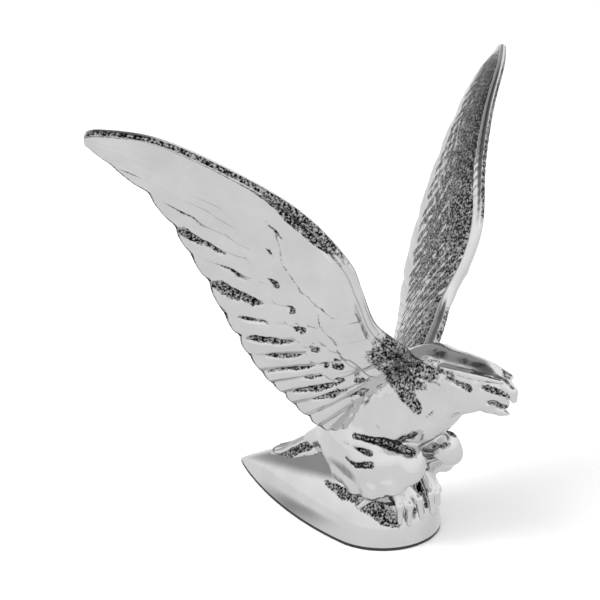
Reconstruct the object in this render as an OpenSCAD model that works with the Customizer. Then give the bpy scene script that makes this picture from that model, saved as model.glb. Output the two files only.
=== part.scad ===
// Stud-mounted eagle hood ornament.
// +X runs towards the beak, +Z is up, and the XZ plane is the plane of symmetry.
// The origin is midway between the two mounting studs, on the face that lies on the hood.

/* [Base] */
// Length of the teardrop base
base_l = 114; // [100:0.5:130]
// Greatest half width of the base
base_w = 25.8; // [22:0.5:30]
// Height of the dome above its rim
base_h = 30; // [26:0.5:34]
// Wall of the base casting
wall = 3; // [2.5:0.1:3.5]

/* [Gasket] */
// Thickness of the gasket pad
gasket_t = 1.5; // [1:0.1:2]

/* [Mounting hardware] */
// Distance between the two studs
stud_gap = 50.8; // [46:0.2:56]
// Radius of the plain shank, for a quarter inch stud
shank_r = 3.175; // [3:0.005:3.4]
// Length of stud below the hood face
stud_down = 32; // [30:1:45]
// Room left for the hood panel between the gasket and the washers
grip = 6; // [5:0.5:8]

/* [Eagle] */
// Segments around the torso and each wing section
around = 24; // [16:4:32]
// Steps between neighbouring control sections
steps = 3; // [2:1:4]
// Half thickness of a wing at its root
wing_t = 5.5; // [4.5:0.1:6.5]

/* [Hidden] */

chrome = [0.86, 0.87, 0.88];
steel = [0.70, 0.71, 0.73];
rubber = [0.10, 0.10, 0.11];

eps = 0.01;
touch = 0.02;               // radial gap of a screwed or pressed joint
run = 0.05;                 // radial gap of a nut that turns on its stud
base_x = -56.5;             // rear tip of the base
nose_at = 0.78;             // where the base is widest, as a share of its length
rim_z = gasket_t;
// Above 1 the ridge falls away towards the rear sooner than the rim narrows
height_curve = 1.1;           // underside of the base casting
stud_x = stud_gap / 2;
thread_r = 2.76;            // pitch radius of a quarter inch, 20 per inch thread
shank_down = 3;             // plain shank below the hood face
stud_up = 14;               // thread in the boss
boss_r = 7;
washer_t = 1.6;
nut_t = 5.56;
nut_r = 11.11 / sqrt(3);    // corner radius, from the width across flats
gasket_hole_r = 4.6;
joint_y = 9;                // plane on which a wing's root face meets the torso

leg_x = 47;
leg_y = 9.5;
leg_r = 5;
leg_seat_z = 12;            // underside of the screw seats in the base
leg_screw_top = 36;
screw_r = 2.5;

spigot_x = 38.5;
spigot_z = 71.5;
spigot_r = 3.5;
spigot_in = 6;              // length of the spigot inside the torso
set_r = 2;
dowel_x = 27.5;
dowel_z = 58;
dowel_r = 1.5;
tail_dowel_x = -2;
tail_dowel_z = 29;

// Leading and trailing edge of the left wing, from inside the torso to the tip
LEAD = [[54, 4, 84], [51, 14, 93], [48, 23, 102], [50, 33, 118], [49, 40, 132],
    [38, 54, 152], [24, 76, 169.5], [10, 101, 184], [-5, 121, 188.5]];
TRAIL = [[18, 6, 38], [12, 18, 45], [6.5, 32, 61], [1.5, 43, 75.5], [-4, 53, 95],
    [-7, 68, 124], [-9, 87, 153], [-11.5, 106, 175], [-8.5, 120, 186]];

// Torso, neck and head: [x, z, half width, half depth, pitch] from the tail root to the beak
BODY = [[-8, 27, 6, 4.5, 30], [2, 31, 9, 8, 32], [12, 36, 12, 11, 36], [23, 43, 14.5, 14.5, 41],
    [35, 52, 16.5, 17.5, 44], [46, 61.5, 17, 19, 44], [55.5, 69.5, 15.5, 18.5, 40], [63.5, 76, 12.5, 16, 28],
    [71.5, 79.2, 9.8, 12, 14], [79, 81, 8.8, 9.8, 2], [86, 80.4, 7.4, 8.4, -6], [91, 79.6, 5, 6.4, -12]];

// Tail: [x, z of the ridge, half width, half thickness, drop of the edges below the ridge] from its root in the body to its tip
TAIL = [[6, 35, 8, 3.6, 4], [-6, 31, 10, 3.2, 6], [-18, 24.5, 12, 2.6, 8], [-27, 20, 13, 2, 9],
    [-33, 18.2, 12, 1.6, 8.6]];

function catmull(a, b, c, d, u) = 0.5 * (2 * b + (c - a) * u + (2 * a - 5 * b + 4 * c - d) * u * u
    + (3 * b - a - 3 * c + d) * u * u * u);
// Smooth value of a list of points at place s, from 0 to its last index
function along(list, s) =
    let (n = len(list) - 1, i = min(floor(s), n - 1), u = s - i)
    catmull(list[max(i - 1, 0)], list[i], list[i + 1], list[min(i + 2, n)], u);
function unit(v) = v / norm(v);
function places(list) = [for (i = [0 : steps * (len(list) - 1)]) i / steps];

// Half width of the teardrop as a share of its greatest, at share t of its length from the rear
function teardrop(t) = t < nose_at ? pow(sin(90 * t / nose_at), 0.85)
    : sqrt(max(0, 1 - pow((t - nose_at) / (1 - nose_at), 2)));
// Stations close together at both ends, where the outline turns fastest
function station(i, n) = 0.5 - 0.498 * cos(180 * i / n);

function dome_ring(t, l, w, h, x0, z0) =
    [for (k = [0 : 16]) let (a = 180 * k / 16)
        [x0 + t * l, w * teardrop(t) * cos(a), z0 + h * pow(teardrop(t), height_curve) * sin(a)]];

function body_ring(s) =
    let (v = along(BODY, s), p = v[4])
    [for (k = [0 : around - 1]) let (a = 360 * k / around, n = v[3] * sin(a))
        [v[0] - n * sin(p), v[2] * cos(a), v[1] + n * cos(p)]];

function tail_ring(s) =
    let (v = along(TAIL, s))
    [for (k = [0 : around - 1]) let (a = -360 * k / around)
        [v[0] + v[3] * sin(a) * 0.45, v[2] * cos(a), v[1] + v[3] * (sin(a) - 1) - v[4] * pow(cos(a), 2)]];

function wing_ring(s) =
    let (a = along(LEAD, s), b = along(TRAIL, s), m = len(LEAD) - 1,
        ahead = along(LEAD, min(s + 0.2, m)) + along(TRAIL, min(s + 0.2, m)),
        behind = along(LEAD, max(s - 0.2, 0)) + along(TRAIL, max(s - 0.2, 0)),
        up = unit(cross(b - a, ahead - behind)),
        thick = wing_t * (1 - 0.72 * s / m), chord = norm(b - a))
    [for (k = [0 : around - 1]) let (f = 360 * k / around, c = (1 - cos(f)) / 2)
        a + c * (b - a) + up * (thick * sin(f) * (1 - 0.62 * c) - 0.16 * chord * c * (1 - c))];

// Closed solid through rings that turn by the right-hand rule about the way they follow each other
module loft(rings) {
    n = len(rings[0]);
    m = len(rings);
    last = (m - 1) * n;
    sides = [for (i = [0 : m - 2], k = [0 : n - 1], h = [0, 1])
        let (p = i * n + k, q = i * n + (k + 1) % n)
        h == 0 ? [q + n, q, p] : [p + n, q + n, p]];
    first_cap = [for (k = [1 : n - 2]) [k, k + 1, 0]];
    last_cap = [for (k = [1 : n - 2]) [last + k + 1, last + k, last]];
    polyhedron([for (r = rings) each r], concat(sides, first_cap, last_cap), convexity = 6);
}

module dome(l, w, h, x0, z0) {
    loft([for (i = [0 : 26]) dome_ring(station(i, 26), l, w, h, x0, z0)]);
}

module base_outside() {
    dome(base_l, base_w, base_h, base_x, rim_z);
}

module base_inside() {
    dome(base_l - 2 * wall, base_w - wall, base_h - wall, base_x + wall, rim_z - eps);
}

module base_shell() {
    color(chrome) difference() {
        base_outside();
        difference() {
            base_inside();
            for (x = [-stud_x, stud_x]) translate([x, 0, 0]) cylinder(h = 40, r = boss_r, $fn = 48);
            for (y = [-leg_y, leg_y]) translate([leg_x, y, leg_seat_z]) cylinder(h = 30, r = 6, $fn = 48);
        }
        for (x = [-stud_x, stud_x])
            translate([x, 0, 0]) cylinder(h = rim_z + stud_up + 1, r = thread_r + touch, $fn = 48);
        for (y = [-leg_y, leg_y]) translate([leg_x, y, 0]) {
            cylinder(h = 40, r = screw_r + 0.3, $fn = 48);
            cylinder(h = leg_seat_z, r = 4.6, $fn = 48);
        }
    }
}

module base_outline() {
    edge = [for (i = [0 : 40]) let (t = station(i, 40)) [base_x + t * base_l, base_w * teardrop(t)]];
    back = [for (i = [40 : -1 : 0]) [edge[i][0], -edge[i][1]]];
    polygon(concat(edge, back));
}

module base_gasket() {
    color(rubber) difference() {
        linear_extrude(gasket_t) base_outline();
        for (x = [-stud_x, stud_x]) translate([x, 0, -1]) cylinder(h = 4, r = gasket_hole_r, $fn = 48);
    }
}

module stud(x) {
    color(steel) translate([x, 0, 0]) {
        translate([0, 0, rim_z]) cylinder(h = stud_up, r = thread_r, $fn = 48);
        translate([0, 0, -shank_down]) cylinder(h = shank_down + rim_z, r = shank_r, $fn = 48);
        translate([0, 0, -stud_down]) cylinder(h = stud_down - shank_down, r = thread_r, $fn = 48);
    }
}

module flat_washer(x) {
    color(steel) translate([x, 0, -grip - washer_t]) difference() {
        cylinder(h = washer_t, r = 9.25, $fn = 64);
        translate([0, 0, -1]) cylinder(h = 4, r = 3.5, $fn = 48);
    }
}

module split_ring(outer, inner, t) {
    difference() {
        cylinder(h = t, r = outer, $fn = 64);
        translate([0, 0, -1]) cylinder(h = t + 2, r = inner, $fn = 48);
        translate([0, -0.5, -1]) cube([outer + 1, 1, t + 2]);
    }
}

module lock_washer(x) {
    color(steel) translate([x, 0, -grip - 2 * washer_t]) split_ring(6.2, 3.4, washer_t);
}

module hex_nut(x) {
    color(steel) translate([x, 0, -grip - 2 * washer_t - 0.05 - nut_t]) difference() {
        cylinder(h = nut_t, r = nut_r, $fn = 6);
        translate([0, 0, -1]) cylinder(h = nut_t + 2, r = thread_r + run, $fn = 48);
    }
}

// One thigh with its knee and hock, on the left side
module thigh() {
    hull() {
        translate([32.5, 11.5, 41]) sphere(r = 9.5, $fn = 24);
        translate([37.5, 12.5, 33]) sphere(r = 12, $fn = 24);
        translate([55, 11, 40]) sphere(r = 7.5, $fn = 24);
    }
}

// Toes of the left foot as tapered rods: [heading, drop, length]
module foot() {
    for (toe = [[10, 42, 15], [-22, 46, 13], [48, 46, 14], [150, 6, 11]])
        translate([leg_x, leg_y, 25.5]) rotate([0, 90 + toe[1], toe[0]]) cylinder(h = toe[2], r1 = 3.4, r2 = 1.4, $fn = 24);
}

module beak() {
    hull() {
        translate([89, 0, 80.5]) sphere(r = 5, $fn = 24);
        translate([96, 0, 80]) sphere(r = 2.8, $fn = 24);
        translate([98.2, 0, 77]) sphere(r = 1.5, $fn = 16);
    }
    hull() {
        translate([84, 0, 76.5]) sphere(r = 4.2, $fn = 24);
        translate([95.5, 0, 72.4]) sphere(r = 1.4, $fn = 16);
    }
}

module wing_bored(side) {
    mirror([0, side < 0 ? 1 : 0, 0]) intersection() {
        loft([for (s = places(LEAD)) wing_ring(s)]);
        translate([-100, joint_y, 0]) cube([220, 200, 220]);
    }
}

module wing(side) {
    color(chrome) difference() {
        union() {
            wing_bored(side);
            translate([spigot_x, side * (joint_y - spigot_in), spigot_z]) rotate([-90 * side, 0, 0])
                cylinder(h = spigot_in + 3, r = spigot_r, $fn = 48);
        }
        translate([dowel_x, side * (joint_y - 1), dowel_z]) rotate([-90 * side, 0, 0])
            cylinder(h = 6, r = dowel_r + touch, $fn = 32);
    }
}

module eagle_body() {
    color(chrome) difference() {
        union() {
            loft([for (s = places(BODY)) body_ring(s)]);
            for (m = [0, 1]) mirror([0, m, 0]) {
                thigh();
                translate([leg_x, leg_y, 14]) cylinder(h = 22, r = leg_r, $fn = 48);
                foot();
            }
            beak();
        }
        base_outside();
        tail_solid();
        for (side = [-1, 1]) {
            wing_bored(side);
            translate([spigot_x, side * (joint_y - spigot_in - touch), spigot_z]) rotate([-90 * side, 0, 0])
                cylinder(h = 12, r = spigot_r + touch, $fn = 48);
            translate([dowel_x, side * (joint_y - 5), dowel_z]) rotate([-90 * side, 0, 0])
                cylinder(h = 12, r = dowel_r + touch, $fn = 32);
            translate([spigot_x, side * (joint_y - 3), spigot_z + spigot_r - 0.5])
                cylinder(h = 30, r = set_r + touch, $fn = 32);
            translate([leg_x, side * leg_y, 10]) cylinder(h = leg_screw_top - 9.5, r = screw_r + touch, $fn = 48);
        }
        translate([tail_dowel_x, 0, tail_dowel_z]) tail_dowel_bar(touch);
    }
}

module tail_solid() {
    loft([for (s = places(TAIL)) tail_ring(s)]);
}

module tail_fan() {
    color(chrome) difference() {
        tail_solid();
        base_outside();
        translate([tail_dowel_x, 0, tail_dowel_z]) tail_dowel_bar(touch);
    }
}

// Pin across the tail root
module tail_dowel_bar(gap) {
    rotate([90, 0, 0]) cylinder(h = 9 + 2 * gap, r = dowel_r + gap, center = true, $fn = 32);
}

module tail_dowel() {
    color(steel) translate([tail_dowel_x, 0, tail_dowel_z]) tail_dowel_bar(0);
}

module leg_screw(side) {
    color(steel) translate([leg_x, side * leg_y, 0]) difference() {
        union() {
            translate([0, 0, leg_seat_z - 1.2]) cylinder(h = leg_screw_top - leg_seat_z, r = screw_r, $fn = 48);
            translate([0, 0, leg_seat_z - 1.2 - 5]) cylinder(h = 5, r = 4.25, $fn = 48);
        }
        translate([0, 0, leg_seat_z - 8]) cylinder(h = 4.2, r = 2.31, $fn = 6);
    }
}

module leg_washer(side) {
    color(steel) translate([leg_x, side * leg_y, leg_seat_z - 1.2]) split_ring(4.4, 2.6, 1.2);
}

module wing_set_screw(side) {
    color(steel) translate([spigot_x, side * (joint_y - 3), spigot_z + spigot_r]) difference() {
        cylinder(h = 4, r = set_r, $fn = 32);
        translate([0, 0, 1.8]) cylinder(h = 4, r = 1.15, $fn = 6);
    }
}

module wing_dowel(side) {
    color(steel) translate([dowel_x, side * (joint_y - 4.5), dowel_z]) rotate([-90 * side, 0, 0])
        cylinder(h = 9, r = dowel_r, $fn = 32);
}

base_shell();
base_gasket();
stud(stud_x);  // stud_front
stud(-stud_x);  // stud_rear
flat_washer(stud_x);  // flat_washer_front
flat_washer(-stud_x);  // flat_washer_rear
lock_washer(stud_x);  // lock_washer_front
lock_washer(-stud_x);  // lock_washer_rear
hex_nut(stud_x);  // hex_nut_front
hex_nut(-stud_x);  // hex_nut_rear
eagle_body();
tail_fan();
wing(-1);  // wing_right
wing(1);  // wing_left
leg_screw(-1);  // leg_screw_right
leg_screw(1);  // leg_screw_left
leg_washer(-1);  // leg_washer_right
leg_washer(1);  // leg_washer_left
wing_set_screw(-1);  // wing_set_screw_right
wing_set_screw(1);  // wing_set_screw_left
wing_dowel(-1);  // wing_dowel_right
wing_dowel(1);  // wing_dowel_left
tail_dowel();
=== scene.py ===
"""Chromed eagle hood ornament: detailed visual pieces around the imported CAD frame."""
import math

import bpy
import numpy as np
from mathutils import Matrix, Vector


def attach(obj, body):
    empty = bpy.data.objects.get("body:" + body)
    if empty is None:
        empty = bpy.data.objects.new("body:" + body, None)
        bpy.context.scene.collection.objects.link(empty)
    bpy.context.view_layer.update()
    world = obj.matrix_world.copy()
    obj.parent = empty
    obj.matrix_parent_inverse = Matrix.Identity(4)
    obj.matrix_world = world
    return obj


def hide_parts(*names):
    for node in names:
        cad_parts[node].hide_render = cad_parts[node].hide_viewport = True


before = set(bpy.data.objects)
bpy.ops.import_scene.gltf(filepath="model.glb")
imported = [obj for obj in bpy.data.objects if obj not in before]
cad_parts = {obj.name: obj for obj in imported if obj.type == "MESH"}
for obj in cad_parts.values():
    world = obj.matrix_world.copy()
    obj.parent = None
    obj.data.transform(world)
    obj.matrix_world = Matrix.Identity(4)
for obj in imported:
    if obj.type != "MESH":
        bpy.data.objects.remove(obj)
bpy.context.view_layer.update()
ROOT = "ornament"
MM = 0.001

# ---------------------------------------------------------------- camera
CAMERA_AT = Vector((0.4466, -0.4641, 0.3237))
CAMERA_TO = Vector((-0.01752, 0.0, 0.09004))
CAMERA_LENS = 96.0
SENSOR_WIDTH = 36.0


def add_camera():
    data = bpy.data.cameras.new("camera")
    data.lens = CAMERA_LENS
    data.sensor_width = SENSOR_WIDTH
    data.clip_end = 50.0
    camera = bpy.data.objects.new("camera", data)
    camera.location = CAMERA_AT
    camera.rotation_euler = (CAMERA_TO - CAMERA_AT).to_track_quat("-Z", "Y").to_euler()
    bpy.context.scene.collection.objects.link(camera)
    bpy.context.scene.camera = camera


add_camera()


# ---------------------------------------------------------------- small helpers
def smoothstep(x):
    x = np.clip(x, 0.0, 1.0)
    return x * x * (3.0 - 2.0 * x)


def along(points, s):
    """Smooth value of a list of rows at places s, from 0 to its last index."""
    pts = np.asarray(points, float)
    s = np.asarray(s, float)
    n = len(pts) - 1
    i = np.minimum(np.floor(s).astype(int), n - 1)
    u = (s - i)[..., None]
    a, b = pts[np.maximum(i - 1, 0)], pts[i]
    c, d = pts[i + 1], pts[np.minimum(i + 2, n)]
    return 0.5 * (2 * b + (c - a) * u + (2 * a - 5 * b + 4 * c - d) * u**2 + (3 * b - a - 3 * c + d) * u**3)


def build(name, verts, faces, material, body, slot, replaces, sharp=None, painted_shade_and_rough=None):
    """A smooth-shaded mesh piece from millimetre points, riding on a CAD body."""
    mesh = bpy.data.meshes.new(name)
    mesh.from_pydata((np.asarray(verts, float) * MM).tolist(), [], [list(map(int, f)) for f in faces])
    mesh.update()
    obj = bpy.data.objects.new(name, mesh)
    bpy.context.scene.collection.objects.link(obj)
    mesh.polygons.foreach_set("use_smooth", [True] * len(mesh.polygons))
    if sharp is not None:
        mesh.set_sharp_from_angle(angle=math.radians(sharp))
    # Each point's share of painted shade and dark reflection, which also makes the chrome rougher
    if painted_shade_and_rough is not None:
        layer = mesh.attributes.new("painted_shade_and_rough", "FLOAT", "POINT")
        layer.data.foreach_set("value", np.asarray(painted_shade_and_rough, np.float32))
    mesh.materials.append(material)
    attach(obj, body)
    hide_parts(*replaces)
    return obj


def ring_faces(rows, count, closed=True, flip=False):
    """Quads between neighbouring rings of count points each."""
    i = np.arange(rows - 1)[:, None]
    k = np.arange(count if closed else count - 1)[None, :]
    a = i * count + k
    b = i * count + (k + 1) % count
    quads = np.stack([a, b, b + count, a + count], -1).reshape(-1, 4)
    return quads[:, ::-1] if flip else quads


def loft(rings, flip=False):
    """Points and faces of a tube through rings, closed at both ends."""
    rings = np.asarray(rings, float)
    rows, count = rings.shape[:2]
    faces = ring_faces(rows, count, flip=flip).tolist()
    middle = np.stack([rings[0].mean(0), rings[-1].mean(0)])
    n = rows * count
    for k in range(count):
        m = (k + 1) % count
        for end in ([n, m, k], [n + 1, n - count + k, n - count + m]):
            faces.append(end[::-1] if flip else end)
    return np.vstack([rings.reshape(-1, 3), middle]), faces


def merge(parts):
    """One mesh out of several (points, faces) pairs."""
    verts, faces, n = [], [], 0
    for v, f in parts:
        verts.append(np.asarray(v, float))
        faces.extend([[int(i) + n for i in q] for q in f])
        n += len(v)
    return np.vstack(verts), faces


# ---------------------------------------------------------------- materials
def new_material(name):
    material = bpy.data.materials.new(name)
    material.use_nodes = True
    tree = material.node_tree
    return material, tree, tree.nodes["Principled BSDF"]


def feed(tree, node, inputs):
    """Set each named input of a node to a constant, or link it to another node's output."""
    for name, value in inputs.items():
        if isinstance(value, bpy.types.NodeSocket):
            tree.links.new(value, node.inputs[name])
        else:
            node.inputs[name].default_value = value
    return node


def noise(tree, scale, detail=3.0, rough=0.5):
    coord = tree.nodes.new("ShaderNodeTexCoord")
    node = tree.nodes.new("ShaderNodeTexNoise")
    feed(tree, node, {"Vector": coord.outputs["Object"], "Scale": scale,
                      "Detail": detail, "Roughness": rough})
    return node.outputs["Fac"]


def ramp(tree, source, low, high, at=(0.3, 0.7), between=()):
    """Colour that goes from low to high as the source goes from at[0] to at[1].

    Each of between is another (place, colour) on the way.
    """
    node = tree.nodes.new("ShaderNodeValToRGB")
    elements = node.color_ramp.elements
    for element, position, colour in zip(elements, at, (low, high)):
        element.position = position
        element.color = (*colour, 1.0)
    for position, colour in between:
        elements.new(position).color = (*colour, 1.0)
    tree.links.new(source, node.inputs["Fac"])
    return node.outputs["Color"]


def map_range(tree, source, reads=(0.0, 1.0), gives=(0.0, 1.0), kind="LINEAR"):
    """Number that goes from gives[0] to gives[1] as the source goes from reads[0] to reads[1]."""
    node = tree.nodes.new("ShaderNodeMapRange")
    node.interpolation_type = kind
    feed(tree, node, {"Value": source, "From Min": reads[0], "From Max": reads[1],
                      "To Min": gives[0], "To Max": gives[1]})
    return node.outputs["Result"]


def bump(tree, height, distance, strength, normal=None):
    """Normal bent by a height; distance is in mm."""
    node = tree.nodes.new("ShaderNodeBump")
    feed(tree, node, {"Height": height, "Distance": distance * MM, "Strength": strength})
    if normal is not None:
        tree.links.new(normal, node.inputs["Normal"])
    return node.outputs["Normal"]


def grey(v):
    return (v, v, v)


def metal(name, low, high, rough, patch_scale, bumps):
    """Metal with patchy colour and gloss. Each of bumps is (scale, strength, distance in mm)."""
    material, tree, shader = new_material(name)
    colour = ramp(tree, noise(tree, patch_scale, 4.0, 0.6), low, high)
    gloss = ramp(tree, noise(tree, patch_scale * 2.3, 5.0, 0.65), grey(rough[0]), grey(rough[1]))
    normal = None
    for scale, strength, distance in bumps:
        normal = bump(tree, noise(tree, scale, 3.0, 0.55), distance, strength, normal)
    feed(tree, shader, {"Metallic": 1.0, "Base Color": colour, "Roughness": gloss, "Normal": normal})
    return material


def chrome_cast_material(name, swell_strength):
    """Bright plate on the raised faces; on the marked places the colour is painted nearly black as painted
    shade and dark reflections, with grey specks as painted glints, and the metal there is rougher and grainy.
    """
    material, tree, shader = new_material(name)
    mark = tree.nodes.new("ShaderNodeAttribute")
    mark.attribute_name = "painted_shade_and_rough"
    # Two sizes of noise make the borders of the painted shade ragged
    grain = noise(tree, 780.0, 4.0, 0.75)
    lump = noise(tree, 260.0, 3.0, 0.6)
    both = tree.nodes.new("ShaderNodeMix")
    feed(tree, both, {"Factor": 0.5, "A": grain, "B": lump})
    jag = tree.nodes.new("ShaderNodeMath")
    jag.operation = "MULTIPLY_ADD"
    feed(tree, jag, {0: both.outputs["Result"], 1: 1.5, 2: mark.outputs["Fac"]})
    dark = map_range(tree, jag.outputs["Value"], reads=(1.18, 1.38))
    # Plate colour with a random tone; for the painted shade, near black with grey specks as painted glints
    bright = ramp(tree, noise(tree, 60.0, 4.0, 0.6), (0.66, 0.66, 0.665), (0.74, 0.74, 0.745))
    painted_shade_specks = ramp(tree, noise(tree, 950.0, 3.0, 0.6), grey(0.004), grey(0.46), (0.46, 0.60))
    mix = tree.nodes.new("ShaderNodeMix")
    mix.data_type = "RGBA"
    feed(tree, mix, {"Factor": dark, "A": bright, "B": painted_shade_specks})
    # A slow swell over the whole casting, and deep grain where the shade is painted
    swell = bump(tree, noise(tree, 230.0, 2.0, 0.5), 0.5, swell_strength)
    skin = bump(tree, grain, 0.35, map_range(tree, dark, gives=(0.04, 0.9)), swell)
    feed(tree, shader, {"Metallic": 1.0, "Base Color": mix.outputs["Result"], "Normal": skin,
                        "Roughness": map_range(tree, dark, gives=(0.07, 0.24))})
    return material


CHROME_CAST = chrome_cast_material("chrome_cast", 0.16)
CHROME_DOME = chrome_cast_material("chrome_dome", 0.04)
ZINC = metal("zinc_plate", (0.52, 0.53, 0.55), (0.66, 0.67, 0.68), (0.22, 0.38), 160.0,
             [(2500.0, 0.25, 0.03)])
BLACK_OXIDE = metal("black_oxide", (0.05, 0.05, 0.055), (0.10, 0.10, 0.105), (0.30, 0.45), 200.0,
                    [(2500.0, 0.3, 0.03)])


def strokes(points, lines, soft=1.0):
    """Mask from 0 to 1 near tapered lines, the same on both sides of the object.

    A line is [start, end, radius at start, radius at end], in mm, and soft is the width of its border.
    """
    p = np.asarray(points, float).copy()
    p[:, 1] = np.abs(p[:, 1])
    total = np.zeros(len(p))
    for a, b, ra, rb in lines:
        a, b = np.array(a, float), np.array(b, float)
        d = b - a
        t = np.clip((p - a) @ d / max(d @ d, 1e-9), 0.0, 1.0)
        gap = np.linalg.norm(p - a - t[:, None] * d, axis=1)
        total = np.maximum(total, smoothstep((ra + (rb - ra) * t - gap) / soft + 0.5))
    return total


def rubber_material():
    material, tree, shader = new_material("foam_rubber")
    patch = noise(tree, 220.0, 5.0, 0.6)
    pores = noise(tree, 3200.0, 2.0, 0.5)
    feed(tree, shader, {"Base Color": ramp(tree, patch, grey(0.018), grey(0.034)),
                        "Roughness": ramp(tree, patch, grey(0.75), grey(0.9)),
                        "Normal": bump(tree, pores, 0.1, 0.5)})
    return material


RUBBER = rubber_material()

# ---------------------------------------------------------------- base
# Rim height, rear end, length, half width, height and wall of the dome, in mm
RIM_Z = 1.5
BASE_X, BASE_L, BASE_W, BASE_H, WALL = -56.5, 114.0, 25.8, 30.0, 3.0
# Where along the length the dome is widest, and how its height follows its width
NOSE_AT = 0.78
HEIGHT_CURVE = 1.1
# Share of the length between its middle and the end rings: not quite half, so that the ends stay open
SPREAD = 0.49999


def teardrop(t):
    """Half width of the outline, from 0 to 1, at share t of the length from the rear."""
    t = np.asarray(t, float)
    rear = np.sin(0.5 * math.pi * np.clip(t, 0, NOSE_AT) / NOSE_AT) ** 0.85
    nose = np.sqrt(np.maximum(0.0, 1.0 - ((t - NOSE_AT) / (1.0 - NOSE_AT)) ** 2))
    return np.where(t < NOSE_AT, rear, nose)


def dome_rings(rows, columns, inset):
    """Rings across the dome from rear to nose, each from the left rim over the ridge to the right."""
    t = 0.5 - SPREAD * np.cos(np.pi * np.arange(rows + 1) / rows)
    a = np.pi * np.arange(columns + 1) / columns
    d = teardrop(t)[:, None]
    x = BASE_X + inset + t[:, None] * (BASE_L - 2 * inset) + 0 * a[None, :]
    y = (BASE_W - inset) * d * np.cos(a)[None, :]
    z = RIM_Z + (BASE_H - inset) * d**HEIGHT_CURVE * np.sin(a)[None, :]
    return np.stack([x, y, z], -1)


def circle(x, y, radius, z, angles):
    """Ring of points about an upright axis; radius and z are numbers, or have a value per angle."""
    return np.stack([x + radius * np.cos(angles), y + radius * np.sin(angles), z + 0 * angles], -1)


def closed_band(rings):
    """Points and faces of a ring-shaped solid: the last ring joins the first."""
    count = len(rings[0])
    last = (len(rings) - 1) * count
    faces = ring_faces(len(rings), count).tolist()
    faces += [[last + k, last + (k + 1) % count, (k + 1) % count, k] for k in range(count)]
    return np.vstack(rings), faces


def full_turn(count):
    return 2 * np.pi * np.arange(count) / count


def tube(x, y, z0, z1, radius, inner):
    """Upright ring wall."""
    a = full_turn(48)
    outline = ((radius, z0), (radius, z1), (inner, z1), (inner, z0))
    return closed_band([circle(x, y, r, z, a) for r, z in outline])


# Places of the mounting studs and of the screws into the legs
STUD_X = 25.4
LEG_X, LEG_Y = 47.0, 9.5
# Bosses for the studs and posts for the leg screws: outer radius, and bore radius of both
BOSS_R, POST_R, BORE_R = 7.0, 6.0, 2.8
# Patches around the feet painted dark as the shade and reflection of the thigh and toes above, and made
# rougher: [start, end, radius at start, radius at end]
DOME_SHADE_MARKS = [((17, 19.0, 21), (29, 20.5, 20), 1.6, 2.8), ((29, 20.5, 20), (38, 19.5, 19.5), 2.8, 2.6),
              ((39, 19.0, 18.5), (50, 15.0, 15.5), 3.6, 5.0), ((49, 16.5, 13), (52.5, 12.5, 13), 3.0, 3.0),
              ((53.4, 6.0, 17), (54.6, 4.0, 15.5), 1.8, 2.2), ((53.5, 10.5, 16), (54, 9.5, 15), 1.2, 1.2)]


def build_base():
    rows, columns = 150, 72
    outer = dome_rings(rows, columns, 0.0)
    inner = dome_rings(rows, columns, WALL)
    count = columns + 1
    verts = np.vstack([outer.reshape(-1, 3), inner.reshape(-1, 3)])
    shift = (rows + 1) * count
    faces = ring_faces(rows + 1, count, closed=False).tolist()
    faces += (ring_faces(rows + 1, count, closed=False, flip=True) + shift).tolist()
    for a in range(0, rows * count, count):
        b = a + columns
        faces.append([a + count, a, a + shift, a + count + shift])
        faces.append([b, b + count, b + count + shift, b + shift])
    for start in (0, rows * count):
        for a in range(start, start + columns):
            q = [a + 1, a, a + shift, a + 1 + shift]
            faces.append(q[::-1] if start else q)
    parts = [(verts, faces)]
    for x in (-STUD_X, STUD_X):
        top = RIM_Z + (BASE_H - 2.0) * float(teardrop((x - BASE_X) / BASE_L)) ** HEIGHT_CURVE - 1.0
        parts.append(tube(x, 0.0, RIM_Z, top, BOSS_R, BORE_R))
    for y in (-LEG_Y, LEG_Y):
        parts.append(tube(LEG_X, y, 12.0, 20.0, POST_R, BORE_R))
    verts, faces = merge(parts)
    # Painted shade and dark reflection on the dome around the feet
    mark = 0.74 * strokes(verts, DOME_SHADE_MARKS, 2.6)
    build("base_dome", verts, faces, CHROME_DOME, ROOT, "chrome", ["base_shell"], sharp=40, painted_shade_and_rough=mark)


build_base()


def build_gasket():
    t = 0.5 - SPREAD * np.cos(np.pi * np.arange(97) / 96)
    x, y = BASE_X + t * BASE_L, BASE_W * teardrop(t)
    outline = np.vstack([np.stack([x, y], -1), np.stack([x[-2:0:-1], -y[-2:0:-1]], -1)])
    centre = np.array([20.0, 0.0])
    rings = []
    for inset, z in ((4.0, 0.0), (0.35, 0.0), (0.0, 0.35), (0.0, 1.15), (0.35, 1.5), (4.0, 1.5)):
        away = outline - centre
        size = np.linalg.norm(away, axis=1, keepdims=True)
        flat = centre + away * (1.0 - inset / np.maximum(size, inset + 1.0))
        rings.append(np.column_stack([flat, np.full(len(flat), z)]))
    build("gasket_pad", *loft(rings, flip=True), RUBBER, ROOT, "rubber", ["base_gasket"], sharp=50)


build_gasket()

# ---------------------------------------------------------------- wings
# Points along the leading and the trailing edge of the left wing, from root to tip, in mm
LEAD = [(54, 4, 84), (51, 14, 93), (48, 23, 102), (50, 33, 118), (49, 40, 132),
        (38, 54, 152), (24, 76, 169.5), (10, 101, 184), (-5, 121, 188.5)]
TRAIL = [(18, 6, 38), (12, 18, 45), (6.5, 32, 61), (1.5, 43, 75.5), (-4, 53, 95),
         (-7, 68, 124), (-9, 87, 153), (-12, 107.5, 173), (-10.6, 119, 182)]
SPAN = len(LEAD) - 1.0
# Scale of the wing's thickness at its root, in mm
WING_T = 5.5
# Part of the last stretch over which the wing tip is rounded off
TIP_ROUND = 0.28
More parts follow.
